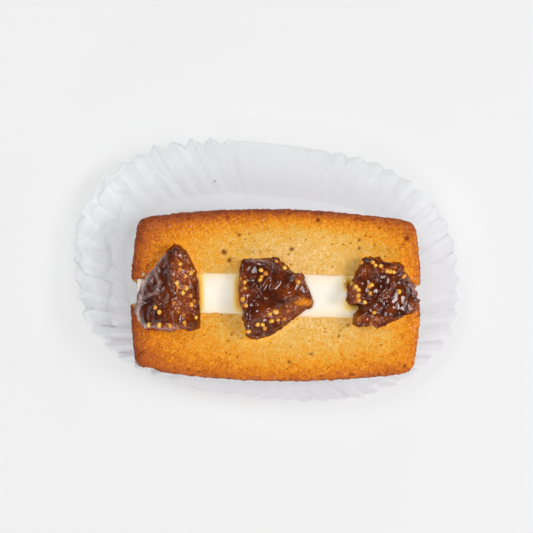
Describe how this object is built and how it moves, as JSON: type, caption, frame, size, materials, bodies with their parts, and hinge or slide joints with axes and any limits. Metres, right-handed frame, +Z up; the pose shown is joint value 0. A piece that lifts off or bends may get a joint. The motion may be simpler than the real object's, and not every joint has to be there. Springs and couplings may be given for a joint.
{
  "type": "financier cake",
  "caption": "Bar-shaped almond financier with bowed sides, a cream-filled channel along its top and glazed fig pieces across the channel, sitting in a flared, fluted oval paper case.",
  "frame": {"origin": "on the underside of the paper case, below the middle of the cake", "axes": "+X along the cake towards the end with the two-lobed fig piece, +Y across the cake towards the wide side of the case, +Z up"},
  "size_m": [0.1137, 0.0777, 0.0319],
  "materials": {
    "paper": "thin translucent white baking paper, soft sheen",
    "crumb": "matte baked crumb, golden top and browned rim",
    "cream": "smooth ivory cream, soft sheen",
    "fig": "sticky glazed dark fig flesh with golden seeds"
  },
  "bodies": {
    "root": {"paper_case": "paper", "cake": "crumb", "cream": "cream", "fig_left": "fig", "fig_middle": "fig", "fig_right": "fig"}
  },
  "joints": []
}
